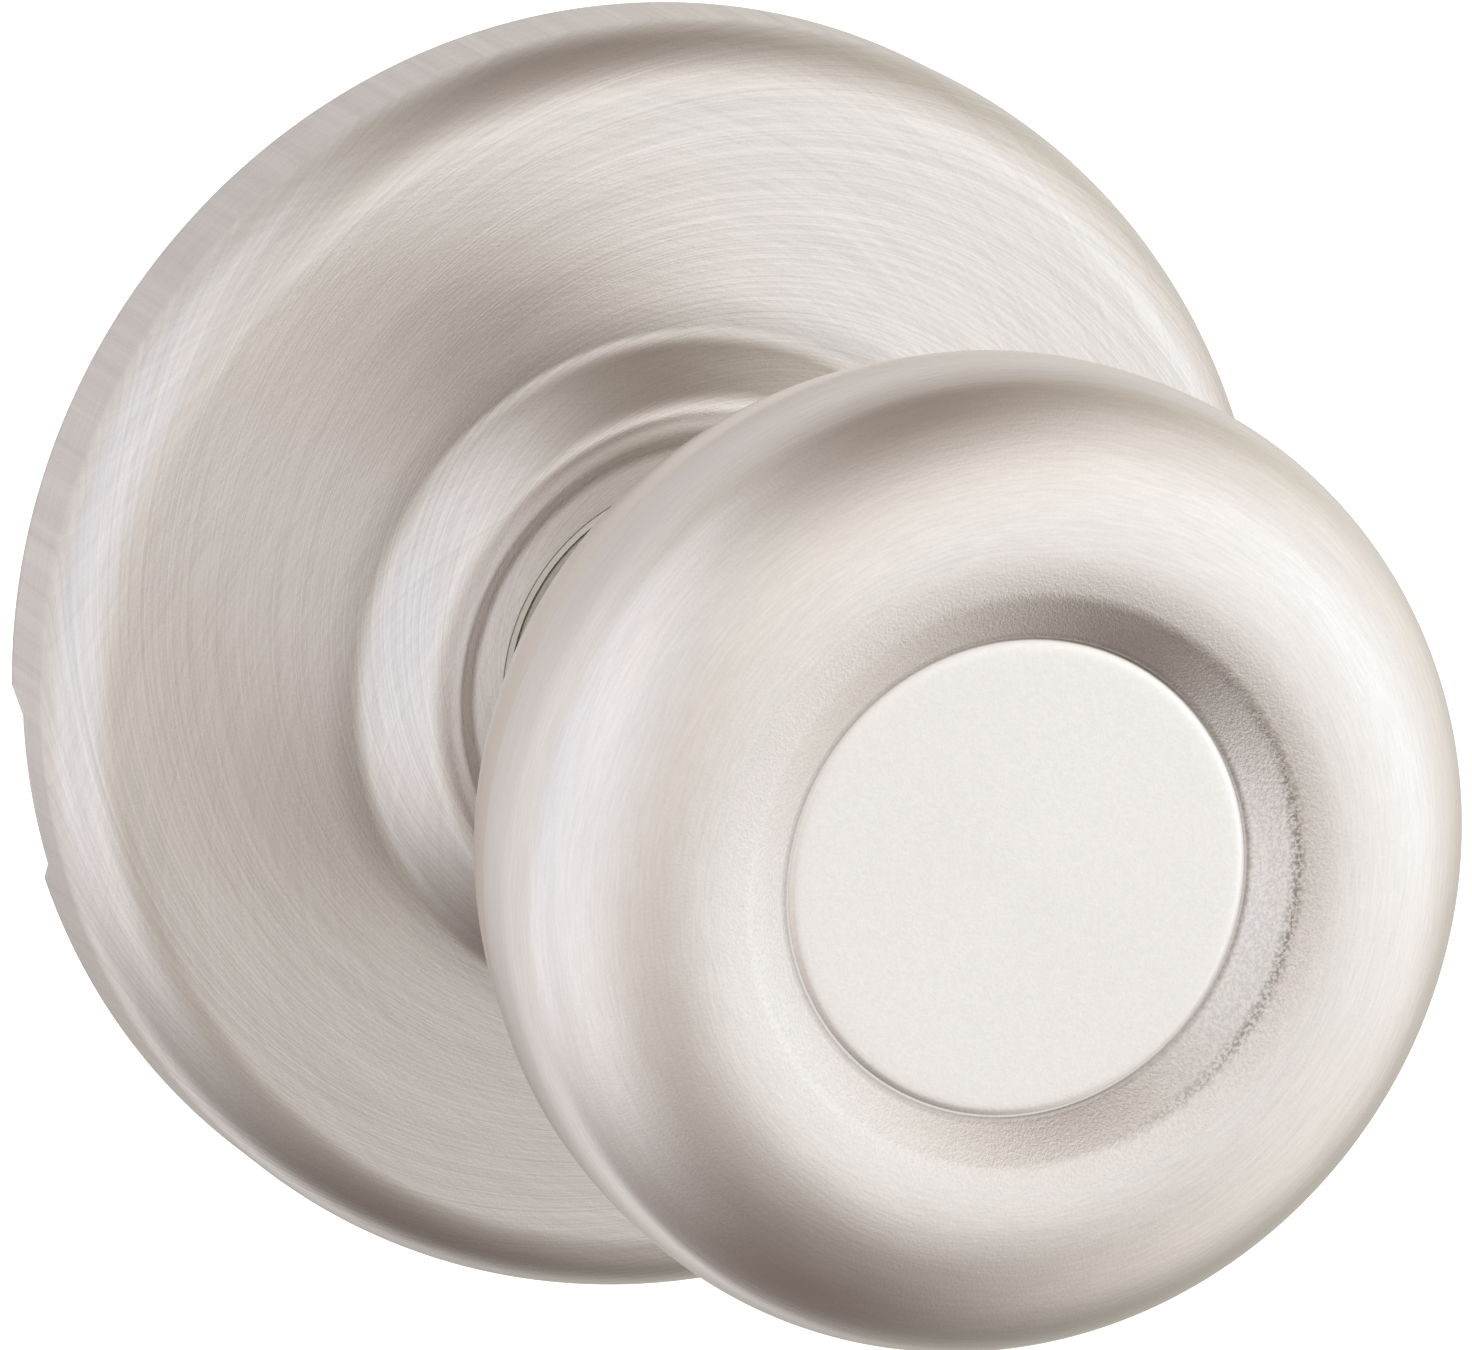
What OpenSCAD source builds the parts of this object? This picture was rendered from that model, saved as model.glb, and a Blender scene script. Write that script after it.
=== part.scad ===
// Round passage door knob with its round rose, drawn as one side of a
// cylindrical-bore lockset: the half that stands on one face of the door.
// Row frame: the door face is the plane y = 0, the knob stands out towards -Y,
// the spindle and the screws run into the door towards +Y, +Z is up.
// The origin is on the knob's axis, in the plane of the door face.
// Every module is drawn with its own z along the knob's axis, outwards, and
// out() turns it into the row frame.

/* [Rose] */
// Outer radius of the rose
rose_r = 35; // [33:0.5:37]
// Height of the straight part of the rose's skirt
skirt_h = 5; // [4.6:0.1:6]
// Radius of the rose's rounded corner
corner_r = 4; // [3:0.25:4.5]
// Rise of the conical face towards the centre, in degrees
face_slope = 6; // [4:0.5:8]
// Radius at which the centre boss starts to rise
boss_r = 19.2; // [19:0.1:19.4]
// Sheet thickness of the rose
rose_t = 0.8; // [0.6:0.1:1]
// Length of the pry notch in the skirt, at its mouth
notch_w = 10.4; // [8:0.2:12]
// Height of the pry notch
notch_h = 2; // [1.2:0.1:2.5]
// Direction of the pry notch, in degrees round from +X
notch_dir = 189; // [0:1:359]

/* [Knob] */
// Largest radius of the knob
knob_r = 25.85; // [25.7:0.05:26]
// Distance of the knob's widest circle from the door
wide_z = 54.85; // [54.6:0.05:55.1]
// Shoulder radius where it leaves the widest circle
shoulder_a = 8.5; // [8:0.1:9]
// Shoulder radius at its tightest part
shoulder_b = 3.1; // [2.9:0.1:3.4]
// Shoulder radius above the tightest part
shoulder_c = 6.1; // [5.8:0.1:6.4]
// Shoulder radius on the way to the front ring
shoulder_d = 9.7; // [9.3:0.1:10]
// Shoulder radius at the front ring
shoulder_e = 11.7; // [11.3:0.1:12]
// Radius of the arc that shapes the back shell
bowl_r = 31.1; // [30.8:0.1:31.4]
// Radius of the neck
neck_r = 10.8; // [10.8:0.1:10.8]
// Distance of the seam between the two shells from the door
seam_z = 50.8; // [50.5:0.1:51.2]
// Sheet thickness of the two shells
shell_t = 0.8; // [0.6:0.1:0.8]
// Steepness of the dish's wall, in degrees
dish_slope = 33; // [32:1:34]
// Length of the straight part of the dish's wall
dish_wall = 0.33; // [0.3:0.01:0.36]

/* [Fixing] */
// Distance between the two mounting screws
screw_gap = 38; // [38:1:38]
// Radius of the mounting screws
screw_r = 2.1; // [2:0.05:2.2]
// How far the mounting screws reach into the door
screw_reach = 36; // [28:1:38]
// How far the spindle reaches into the door
spindle_reach = 52; // [45:1:56]
// Radius of the mounting plate
plate_r = 32.6; // [32.6:0.1:32.6]
// Thickness of the mounting plate
plate_t = 1.6; // [1.6:0.1:1.6]

/* [Mechanism] */
// Outer radius of the driver tube
tube_r = 8; // [8:0.1:8]
// Running clearance of the driver tube in its bush
run = 0.05; // [0.02:0.01:0.1]
// Wire radius of the return spring
wire_r = 0.65; // [0.5:0.05:0.7]
// Turns of the return spring
turns = 3; // [2:1:3]
// Half of the angle that the cam's stop tooth covers, in degrees
tooth_a = 12; // [8:1:14]
// Angle from the tooth to each stop pin, in degrees
pin_a = 72; // [70:1:80]
// Distance of the catch from the door
catch_z = 19; // [18:0.5:20]

/* [Hidden] */
$fn = 96;
e = 0.01;
nickel = [0.74, 0.71, 0.68];
zinc = [0.72, 0.74, 0.76];
steel = [0.55, 0.56, 0.58];

// Driver tube, neck and shank radii that belong together
tube_in = 6.4;
shank_r = neck_r - shell_t;
// The bowl is an arc about this radius on the widest circle's plane
bowl_c = knob_r - bowl_r;
// The back shell stands this much inside the front shell at the seam
step = 0.2;
back_r = bowl_r - step;
// Fillet between the neck and the bowl
fil_r = 6;
fil_z = wide_z - sqrt(pow(back_r + fil_r, 2) - pow(neck_r + fil_r - bowl_c, 2));

module out() rotate([90, 0, 0]) children();

// Points of a circular arc as [radius, height], from angle a to angle b
function arc(r, z, rad, a, b, n) = [for (i = [0:n]) let (t = a + (b - a) * i / n) [r + rad * cos(t), z + rad * sin(t)]];
// Arc that starts at p and turns its inward slope from s1 to s2 degrees
function bend(p, rad, s1, s2, n) = let (g = sign(s2 - s1)) [for (i = [1:n]) let (s = s1 + (s2 - s1) * i / n)
    [p[0] - g * rad * (sin(s) - sin(s1)), p[1] + g * rad * (cos(s1) - cos(s))]];
function run_on(p, len, s) = [p[0] - len * cos(s), p[1] + len * sin(s)];
function last(v) = v[len(v) - 1];
function rev(v) = [for (i = [len(v) - 1:-1:0]) v[i]];
function unit(v) = v / norm(v);
// Normal on the right-hand side of the path at point i
function nrm(v, i) = let (a = v[max(0, i - 1)], b = v[min(len(v) - 1, i + 1)], d = unit(b - a)) [-d[1], d[0]];
// The path moved sideways by d
function aside(v, d) = [for (i = [0:len(v) - 1]) v[i] + d * nrm(v, i)];

// ---------------------------------------------------------------- rose
corner = arc(rose_r - corner_r, skirt_h, corner_r, 0, 90 - face_slope, 14);
face_p = last(corner);
face_e = [boss_r, face_p[1] + (face_p[0] - boss_r) * tan(face_slope)];
flare = bend(face_e, 1.6, face_slope, 52, 8);
slope_e = run_on(last(flare), 3, 52);
crown = bend(slope_e, 1.7, 52, 0, 7);
roll = bend(last(crown), 1.3, 0, -50, 6);
roll_e = run_on(last(roll), 0.9, -50);
valley = bend(roll_e, 1.3, -50, -4, 6);
lip = [run_on(last(valley), 1.19, -4)];
rose_out = concat([[rose_r, 0], [rose_r, skirt_h / 2]], corner, [face_e], flare, [slope_e], crown, roll, [roll_e], valley, lip);

module rose() {
    inner = aside(rose_out, rose_t);
    out() color(nickel) difference() {
        rotate_extrude($fn = 180) polygon(concat(rose_out, rev(inner)));
        rotate([0, 0, notch_dir]) translate([rose_r - 2.5, 0, 0]) rotate([90, 0, 90])
            linear_extrude(4) polygon([[-notch_w / 2 - 1, -1], [notch_w / 2 + 1, -1], [notch_w / 2 - notch_h / 2, notch_h], [notch_h / 2 - notch_w / 2, notch_h]]);
    }
}

// Nylon ring that centres the neck in the rose
module rose_bushing() {
    out() color("ivory") rotate_extrude() polygon([[neck_r + 0.08, 9.4], [15.2, 9.4], [15.2, 10.2], [13, 10.2], [13, 11.35], [11.2, 11.35], [11.2, 12.05], [neck_r + 0.08, 12.05]]);
}

// Three leaf clips on the plate's rim that press against the skirt from inside
module rose_clips() {
    out() color(steel) for (a = [30, 150, 270]) rotate([0, 0, a - 9])
        rotate_extrude(angle = 18) polygon([[plate_r, 1.2], [plate_r + 0.6, 1.2], [rose_r - rose_t, 2.9], [plate_r + 0.6, 4.4], [plate_r, 4.4]]);
}

// ---------------------------------------------------------------- fixed parts
module mounting_plate() {
    out() color(zinc) difference() {
        rotate_extrude() polygon([[9.6, 0.3], [26.4, 0.3], [26.4, 0], [plate_r, 0], [plate_r, 4.6], [plate_r - 1.2, 4.6], [plate_r - 1.2, plate_t], [9.6, plate_t]]);
        for (s = [-1, 1]) translate([0, s * screw_gap / 2, -1]) cylinder(h = 4, r = screw_r + 0.15, $fn = 48);
        for (a = [45:90:315]) rotate([0, 0, a]) translate([23.2, 0, -1]) cylinder(h = 4, r = 1.25, $fn = 32);
        for (s = [-1, 1]) rotate([0, 0, 270 + s * pin_a]) translate([12.9, 0, -1]) cylinder(h = 4, r = 1.2, $fn = 32);
    }
}

module hub_bushing() {
    out() color("goldenrod") rotate_extrude() polygon([[tube_r + run, -1.1], [9.6, -1.1], [9.6, plate_t], [10.8, plate_t], [10.8, 2.8], [tube_r + run, 2.8]]);
}

module mounting_screws() {
    out() color(zinc) for (s = [-1, 1]) translate([0, s * screw_gap / 2, 0]) difference() {
        rotate_extrude($fn = 64) polygon(concat([[0, -screw_reach], [screw_r - 0.5, -screw_reach], [screw_r, -screw_reach + 0.5], [screw_r, -10.5], [screw_r - 0.25, -10.25], [screw_r - 0.25, plate_t], [3.9, plate_t], [3.9, plate_t + 0.6]],
            arc(0, plate_t - 2.6, 5.05, 38, 90, 8)));
        for (q = [0, 90]) rotate([0, 0, q + 20]) translate([-2.1, -0.4, plate_t + 1.1]) cube([4.2, 0.8, 3]);
    }
}

// Pressed cup behind the plate; it sits in the door's cross bore
module spring_housing() {
    out() color(zinc) difference() {
        union() {
            rotate_extrude() polygon([[9.2, -10], [16, -10], [16, -1], [26, -1], [26, 0.3], [15, 0.3], [15, -9], [9.2, -9]]);
            // tab that holds the spring's legs apart
            rotate([0, 0, 81]) rotate_extrude(angle = 18) polygon([[14.2, -9 - e], [15 + e, -9 - e], [15 + e, -2.2], [14.2, -2.2]]);
        }
        for (s = [-1, 1]) translate([0, s * screw_gap / 2, -2]) cylinder(h = 3, r = screw_r + 0.15, $fn = 48);
        for (a = [45:90:315]) rotate([0, 0, a]) translate([23.2, 0, -2]) cylinder(h = 3, r = 1.25, $fn = 32);
    }
}

module housing_rivets() {
    out() color(steel) for (a = [45:90:315]) rotate([0, 0, a]) translate([23.2, 0, 0])
        rotate_extrude($fn = 40) polygon([[0, -1.8], [1.6, -1.8], [2.1, -1.3], [2.1, -1], [1.25, -1], [1.25, plate_t], [2.2, plate_t], [2.0, plate_t + 0.5], [1.4, plate_t + 0.9], [0, plate_t + 1]]);
}

module stop_pins() {
    out() color(steel) for (s = [-1, 1]) rotate([0, 0, 270 + s * pin_a]) translate([12.9, 0, -3.3])
        cylinder(h = plate_t + 3.3, r = 1.2, $fn = 32);
}

// Wire swept along a list of points, six sides round; ref is the coil's axis
module wire(pts, rad, ref) {
    n = len(pts); k = 6;
    function dir(i) = unit(pts[min(n - 1, i + 1)] - pts[max(0, i - 1)]);
    ring = [for (i = [0:n - 1]) let (t = dir(i), u = unit(cross(t, ref)), w = cross(u, t))
        for (j = [0:k - 1]) pts[i] + rad * (u * cos(60 * j) + w * sin(60 * j))];
    polyhedron(points = ring, faces = concat([[for (j = [0:k - 1]) j]],
        [for (i = [0:n - 2]) for (j = [0:k - 1]) [i * k + j, (i + 1) * k + j, (i + 1) * k + (j + 1) % k, i * k + (j + 1) % k]],
        [[for (j = [k - 1:-1:0]) (n - 1) * k + j]]));
}

// Torsion spring: its legs stand either side of the housing's tab and the cam's lug
spring_mean = 12;
leg_a = 12.5;
spring_lo = -8.2;
spring_hi = -4.2;
spring_sweep = 360 * turns - 2 * leg_a;
function spring_pt(t) = let (a = 90 + leg_a + spring_sweep * t) [spring_mean * cos(a), spring_mean * sin(a), spring_lo + (spring_hi - spring_lo) * t];
module return_spring() {
    m = 28 * turns;
    body = [for (i = [0:m]) spring_pt(i / m)];
    leg0 = [14.6 * cos(90 + leg_a + 4.5), 14.6 * sin(90 + leg_a + 4.5), spring_lo];
    leg1 = [14.6 * cos(90 - leg_a - 4.5), 14.6 * sin(90 - leg_a - 4.5), spring_hi];
    out() color([0.35, 0.36, 0.38]) wire(concat([leg0], body, [leg1]), wire_r, [0, 0, 1]);
}

// ---------------------------------------------------------------- turning parts
module drive_cam() {
    out() color(steel) difference() {
        union() {
            translate([0, 0, -8.6]) cylinder(h = 7.2, r = 10.6);
            // stop tooth, below the axis
            rotate([0, 0, 270 - tooth_a]) rotate_extrude(angle = 2 * tooth_a) polygon([[9, -3.2], [14.2, -3.2], [14.2, -1.6], [9, -1.6]]);
            // arm and lug that push the spring's legs, above the axis
            rotate([0, 0, 82]) rotate_extrude(angle = 16) polygon([[9, -3.2], [12.95, -3.2], [12.95, -8.4], [13.8, -8.4], [13.8, -1.6], [9, -1.6]]);
        }
        translate([0, 0, -10]) cylinder(h = 10, r = tube_r);
    }
}

module driver_tube() {
    out() color(zinc) difference() {
        rotate_extrude() polygon([[tube_in, -13], [tube_r, -13], [tube_r, 4.9], [tube_r - 0.6, 4.9], [tube_r - 0.6, 5.9], [tube_r, 5.9], [tube_r, 32.4], [tube_r - 0.6, 33], [tube_in, 33]]);
        translate([0, 0, catch_z]) rotate([90, 0, 0]) cylinder(h = 12, r = 2.28, $fn = 48);
        translate([-10, 0, -11.6]) rotate([0, 90, 0]) cylinder(h = 20, r = 1, $fn = 32);
    }
}

module thrust_washer() {
    out() color("ivory") rotate_extrude() polygon([[tube_r + 0.1, 2.9], [11.4, 2.9], [11.4, 3.7], [tube_r + 0.1, 3.7]]);
}

// Spring washer with three waves, between the thrust washer and the ring
module wave_washer() {
    n = 60;
    function wz(a) = 4.3 + 0.4 * cos(3 * a);
    pts = [for (i = [0:n - 1]) let (a = 360 * i / n, c = cos(a), s = sin(a), z = wz(a))
        each [[8.2 * c, 8.2 * s, z - 0.2], [10.6 * c, 10.6 * s, z - 0.2], [10.6 * c, 10.6 * s, z + 0.2], [8.2 * c, 8.2 * s, z + 0.2]]];
    out() color(steel) polyhedron(points = pts, faces = [for (i = [0:n - 1]) let (k = (i + 1) % n) for (j = [0:3])
        [4 * i + j, 4 * i + (j + 1) % 4, 4 * k + (j + 1) % 4, 4 * k + j]]);
}

// Open ring in the driver tube's groove
module retaining_ring() {
    out() color([0.3, 0.3, 0.32]) translate([0, 0, 4.9]) difference() {
        cylinder(h = 1, r = 10.4);
        translate([0, 0, -1]) cylinder(h = 3, r = tube_r - 0.6);
        translate([-4.2, 0, -1]) cube([8.4, 12, 3]);
    }
}

// Section of the half-round spindle, with a little clearance c
module half_round(c) intersection() {
    circle(r = 3.9 + c, $fn = 64);
    translate([-5, -5]) square([10, 6.2 + c]);
}

module spindle_socket() {
    out() color(zinc) difference() {
        translate([0, 0, -13]) cylinder(h = 9, r = tube_in);
        translate([0, 0, -14]) linear_extrude(11) half_round(0.05);
        translate([-10, 0, -11.6]) rotate([0, 90, 0]) cylinder(h = 20, r = 1, $fn = 32);
    }
}

module spindle() {
    out() color(zinc) difference() {
        translate([0, 0, -spindle_reach]) linear_extrude(spindle_reach - 2) half_round(0);
        translate([-10, 0, -11.6]) rotate([0, 90, 0]) cylinder(h = 20, r = 1, $fn = 32);
        // bevelled tip
        translate([-6, 0, 0]) rotate([90, 0, 90]) linear_extrude(12) polygon([[-1.2, -spindle_reach - 0.1], [3, -spindle_reach - 0.1], [3, -spindle_reach + 6.5]]);
    }
}

module spindle_pin() {
    out() color(steel) translate([-7.8, 0, -11.6]) rotate([0, 90, 0]) cylinder(h = 15.6, r = 1, $fn = 32);
}

// Sprung button that locks the knob's shank on the driver tube, on the underside
module knob_catch() {
    out() color(steel) translate([0, 0, catch_z]) rotate([90, 0, 0]) rotate_extrude($fn = 64)
        polygon([[0, 4.2], [3.1, 4.2], [3.1, 5.0], [2.2, 5.0], [2.2, 9.2], [1.7, 9.8], [0, 9.8]]);
}

module catch_spring() {
    n = 60;
    out() color([0.35, 0.36, 0.38]) wire([for (i = [0:n]) let (t = i / n, a = 360 * 5 * t) [1.8 * cos(a), 5.5 - 9.35 * t, catch_z + 1.8 * sin(a)]], 0.3, [0, 1, 0]);
}

// ---------------------------------------------------------------- knob
module knob_shank() {
    out() color(zinc) difference() {
        rotate_extrude() polygon([[tube_r + run, 8.4], [shank_r, 8.4], [shank_r, 41], [tube_r + run, 41]]);
        translate([0, 0, catch_z]) rotate([90, 0, 0]) cylinder(h = 12, r = 2.3, $fn = 48);
    }
}

module knob_core() {
    out() color([0.6, 0.6, 0.62]) difference() {
        rotate_extrude() polygon([[shank_r, 34], [12.6, 34], [12.6, 43], [22.1, 43], [22.1, 47.4], [21.2, 47.4], [21.2, 45.5], [13.6, 45.5], [12.4, 47],
            [6.6, 47], [6, 48], [6, 58.85], [0, 58.85], [0, 41], [shank_r, 41]]);
        for (a = [0:60:300]) rotate([0, 0, a]) translate([17.2, 0, 42]) cylinder(h = 5, r = 2.6, $fn = 32);
    }
}

neck_line = [[neck_r, 8.4], [neck_r, 16]];
fillet = [for (i = [0:9]) let (t0 = -90, t1 = -90 + acos((neck_r + fil_r - bowl_c) / (back_r + fil_r)), t = t0 + (t1 - t0) * i / 9)
    [neck_r + fil_r + fil_r * sin(t), fil_z + fil_r * cos(t)]];
bowl_a0 = atan2(last(fillet)[0] - bowl_c, wide_z - last(fillet)[1]);
bowl_a1 = acos((wide_z - seam_z) / back_r);
bowl = [for (i = [1:18]) let (t = bowl_a0 + (bowl_a1 - bowl_a0) * i / 18) [bowl_c + back_r * sin(t), wide_z - back_r * cos(t)]];
back_out = concat(neck_line, fillet, bowl);

module knob_back() {
    inner = [for (p = aside(back_out, shell_t)) if (p[1] < 49.1) p];
    out() color(nickel) difference() {
        rotate_extrude($fn = 180) polygon(concat(back_out, [[24.5, seam_z], [24.5, 53.5], [23.75, 53.5], [23.75, 49.9]], rev(inner)));
        // hole for the tool that presses the catch
        translate([0, 0, catch_z]) rotate([90, 0, 0]) cylinder(h = 14, r = 1.5, $fn = 32);
    }
}

front_arc = [for (i = [0:4]) let (z = seam_z + 0.15 + (wide_z - seam_z - 0.15) * i / 5) [bowl_c + sqrt(bowl_r * bowl_r - pow(wide_z - z, 2)), z]];
should_a = bend([knob_r, wide_z], shoulder_a, 90, 72, 5);
should_b = bend(last(should_a), shoulder_b, 72, 54, 4);
should_c = bend(last(should_b), shoulder_c, 54, 36, 5);
should_d = bend(last(should_c), shoulder_d, 36, 18, 6);
should_e = bend(last(should_d), shoulder_e, 18, 0, 6);
shoulder = concat([[knob_r, wide_z]], should_a, should_b, should_c, should_d, should_e);
rim_a = bend(last(shoulder), 12, 0, -10, 4);
rim_b = bend(last(rim_a), 2.2, -10, -27, 5);
rim_in = concat(rim_a, rim_b, bend(last(rim_b), 18, -27, -dish_slope, 4));
wall_e = run_on(last(rim_in), dish_wall, -dish_slope);
cove = bend(wall_e, 0.4, -dish_slope, -4, 4);
disc_z = last(cove)[1];
front_out = concat(front_arc, shoulder, rim_in, [wall_e], cove);

module knob_face() {
    groove_r = last(cove)[0];
    inner = aside(front_out, shell_t);
    out() color(nickel) difference() {
        rotate_extrude($fn = 180) polygon(concat(front_out, [[groove_r - 0.12, disc_z - 0.1], [groove_r - 0.36, disc_z - 0.01], [groove_r - 0.8, disc_z + 0.02], [0, disc_z + 0.05], [0, disc_z - shell_t]], rev(inner)));
    }
}

rose();
rose_bushing();
rose_clips();
mounting_plate();
hub_bushing();
mounting_screws();
spring_housing();
housing_rivets();
stop_pins();
return_spring();
drive_cam();
driver_tube();
thrust_washer();
wave_washer();
retaining_ring();
spindle_socket();
spindle();
spindle_pin();
knob_catch();
catch_spring();
knob_shank();
knob_core();
knob_back();
knob_face();
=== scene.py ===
import math

import bmesh
import bpy
from mathutils import Matrix, Vector


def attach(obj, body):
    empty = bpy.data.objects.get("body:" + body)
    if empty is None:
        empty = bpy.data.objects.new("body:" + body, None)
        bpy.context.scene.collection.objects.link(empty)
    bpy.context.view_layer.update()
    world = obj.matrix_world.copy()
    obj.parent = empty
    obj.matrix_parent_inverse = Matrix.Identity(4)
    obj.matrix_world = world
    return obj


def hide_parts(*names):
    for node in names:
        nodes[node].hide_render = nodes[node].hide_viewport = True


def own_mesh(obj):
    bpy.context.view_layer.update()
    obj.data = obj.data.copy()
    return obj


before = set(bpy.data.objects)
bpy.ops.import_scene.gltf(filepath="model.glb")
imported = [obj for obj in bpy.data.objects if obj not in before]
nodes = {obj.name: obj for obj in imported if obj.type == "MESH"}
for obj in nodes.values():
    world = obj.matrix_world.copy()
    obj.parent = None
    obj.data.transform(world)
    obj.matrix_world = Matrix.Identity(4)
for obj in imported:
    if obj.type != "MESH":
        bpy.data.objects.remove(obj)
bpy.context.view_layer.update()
scene = bpy.context.scene
MM = 0.001

# ------------------------------------------------------------------ sizes, mm, as in the CAD source
ROSE_R, SKIRT_H, CORNER_R, FACE_SLOPE, BOSS_R, ROSE_T = 35.0, 5.0, 4.0, 6.0, 19.2, 0.8
NOTCH_W, NOTCH_H, NOTCH_DIR = 10.4, 2.0, 189.0
KNOB_R, WIDE_Z, BOWL_R = 25.85, 54.85, 31.1
SHOULDER = ((8.5, 90, 72), (3.1, 72, 54), (6.1, 54, 36), (9.7, 36, 18), (11.7, 18, 0))
NECK_R, SEAM_Z, SHELL_T, DISH_SLOPE, DISH_WALL, FIL_R, STEP = 10.8, 50.8, 0.8, 33.0, 0.33, 6.0, 0.2
CATCH_Z, PLATE_T, SCREW_R, SCREW_GAP, SCREW_REACH = 19.0, 1.6, 2.1, 38.0, 36.0


# ------------------------------------------------------------------ profile helpers, points are (radius, height off the door)
def arc(r, z, rad, a, b, n):
    return [(r + rad * math.cos(math.radians(a + (b - a) * i / n)), z + rad * math.sin(math.radians(a + (b - a) * i / n))) for i in range(n + 1)]


def bend(p, rad, s1, s2, n):
    g = 1 if s2 > s1 else -1
    out = []
    for i in range(1, n + 1):
        s = math.radians(s1 + (s2 - s1) * i / n)
        s0 = math.radians(s1)
        out.append((p[0] - g * rad * (math.sin(s) - math.sin(s0)), p[1] + g * rad * (math.cos(s0) - math.cos(s))))
    return out


def run_on(p, length, s):
    return (p[0] - length * math.cos(math.radians(s)), p[1] + length * math.sin(math.radians(s)))


def line(a, b, n):
    return [(a[0] + (b[0] - a[0]) * i / n, a[1] + (b[1] - a[1]) * i / n) for i in range(1, n + 1)]


def aside(v, d):
    """The path moved sideways by d, towards the inside of the sheet."""
    out = []
    for i in range(len(v)):
        a, b = v[max(0, i - 1)], v[min(len(v) - 1, i + 1)]
        dx, dy = b[0] - a[0], b[1] - a[1]
        length = math.hypot(dx, dy)
        out.append((v[i][0] - d * dy / length, v[i][1] + d * dx / length))
    return out


def rounded(points, corners):
    """The closed outline with the named corners cut by a small round of the given radius."""
    out = []
    n = len(points)
    for i, p in enumerate(points):
        if i not in corners:
            out.append(p)
            continue
        rad = corners[i]
        a, b = Vector(points[i - 1]), Vector(points[(i + 1) % n])
        c = Vector(p)
        u, w = (a - c), (b - c)
        t = min(rad, u.length * 0.45, w.length * 0.45)
        p0, p1 = c + u.normalized() * t, c + w.normalized() * t
        for k in range(4):
            s = k / 3
            q = p0 * (1 - s) ** 2 + c * 2 * s * (1 - s) + p1 * s ** 2
            out.append((q.x, q.y))
    return out


# ------------------------------------------------------------------ mesh helpers
def to_row(x, y, z):
    """From a frame whose z points out of the door to the row frame, in metres."""
    return (x * MM, -z * MM, y * MM)


def link_mesh(name, verts, faces, sharp=32):
    mesh = bpy.data.meshes.new(name)
    mesh.from_pydata(verts, [], faces)
    bm = bmesh.new()
    bm.from_mesh(mesh)
    bmesh.ops.remove_doubles(bm, verts=bm.verts, dist=1e-8)
    bmesh.ops.recalc_face_normals(bm, faces=bm.faces)
    bm.to_mesh(mesh)
    bm.free()
    mesh.polygons.foreach_set("use_smooth", [True] * len(mesh.polygons))
    mesh.set_sharp_from_angle(angle=math.radians(sharp))
    mesh.update()
    obj = bpy.data.objects.new(name, mesh)
    scene.collection.objects.link(obj)
    return obj


def lathe(name, outline, angles, lift=None, sharp=32):
    """Turns a closed outline of (radius, height) round the knob's axis. lift(angle, r, z) may raise a point."""
    n, m = len(angles), len(outline)
    verts, faces = [], []
    for a in angles:
        c, s = math.cos(a), math.sin(a)
        for r, z in outline:
            zz = lift(a, r, z) if lift else z
            verts.append(to_row(r * c, r * s, zz))
    for i in range(n):
        k = (i + 1) % n
        for j in range(m):
            q = (j + 1) % m
            if outline[j][0] < 1e-6 and outline[q][0] < 1e-6:
                continue
            faces.append((i * m + j, k * m + j, k * m + q, i * m + q))
    bad = [f for f in faces if len(set(f)) < 4]
    for f in bad:
        faces.remove(f)
    return link_mesh(name, verts, faces, sharp)


def even(n):
    return [2 * math.pi * i / n for i in range(n)]


def sweep(name, path, radius, ref, sides=14):
    """Round wire along a path of points in the row frame, metres; its two ends are domed."""
    pts = [Vector(p) for p in path]
    ref = Vector(ref)
    verts, faces = [], []
    rings = []
    d0 = (pts[1] - pts[0]).normalized()
    d1 = (pts[-1] - pts[-2]).normalized()
    spots = [(pts[0] - d0 * 0.0, d0, 0.55)] + [(pts[0] + d0 * radius * 0.4, d0, 1.0)]
    for i in range(1, len(pts) - 1):
        spots.append((pts[i], (pts[i + 1] - pts[i - 1]).normalized(), 1.0))
    spots += [(pts[-1] - d1 * radius * 0.4, d1, 1.0), (pts[-1], d1, 0.55)]
    for p, t, k in spots:
        u = t.cross(ref).normalized()
        w = u.cross(t)
        ring = []
        for j in range(sides):
            a = 2 * math.pi * j / sides
            verts.append(p + (u * math.cos(a) + w * math.sin(a)) * radius * k)
            ring.append(len(verts) - 1)
        rings.append(ring)
    for a, b in zip(rings[:-1], rings[1:]):
        for j in range(sides):
            faces.append((a[j], b[j], b[(j + 1) % sides], a[(j + 1) % sides]))
    faces.append(tuple(rings[0]))
    faces.append(tuple(reversed(rings[-1])))
    return link_mesh(name, verts, faces, 50)


def cut(obj, cutter):
    """Takes the cutter's shape out of the object and keeps the result as its mesh."""
    mod = obj.modifiers.new("cut", "BOOLEAN")
    mod.operation, mod.solver, mod.object = "DIFFERENCE", "EXACT", cutter
    dg = bpy.context.evaluated_depsgraph_get()
    mesh = bpy.data.meshes.new_from_object(obj.evaluated_get(dg))
    obj.modifiers.clear()
    old = obj.data
    obj.data = mesh
    bpy.data.meshes.remove(old)
    bpy.data.objects.remove(cutter)
    mesh.polygons.foreach_set("use_smooth", [True] * len(mesh.polygons))
    mesh.set_sharp_from_angle(angle=math.radians(32))


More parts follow.
